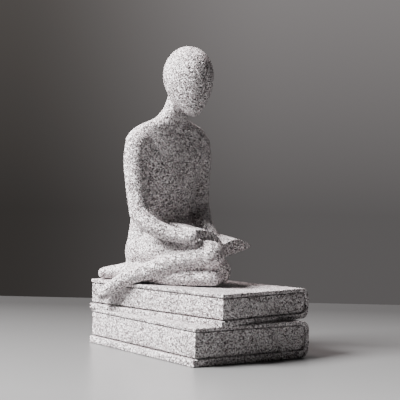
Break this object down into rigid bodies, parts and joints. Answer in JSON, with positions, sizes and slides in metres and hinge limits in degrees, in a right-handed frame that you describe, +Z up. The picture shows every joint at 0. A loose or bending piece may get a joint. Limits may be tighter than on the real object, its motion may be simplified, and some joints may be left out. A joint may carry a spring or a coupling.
{
  "type": "reading figure statue",
  "caption": "Stylised faceless seated figure with bowed head, legs folded beneath it, reading an open book on a stack of two closed books; one-piece tabletop casting.",
  "frame": {"origin": "middle of the underside, which is the lower closed book's flat footprint", "axes": "+Z up; -Y the way the figure faces, out of the lower book's tail end; +X along the lower book's width, from its fore-edge to its rounded spine"},
  "size_m": [0.1328, 0.1704, 0.2512],
  "materials": {
    "cast_stone_resin": "matte, speckled like granite or sandstone, fine grit"
  },
  "bodies": {
    "root": {"reading_thinker_statue": "cast_stone_resin"}
  },
  "joints": []
}
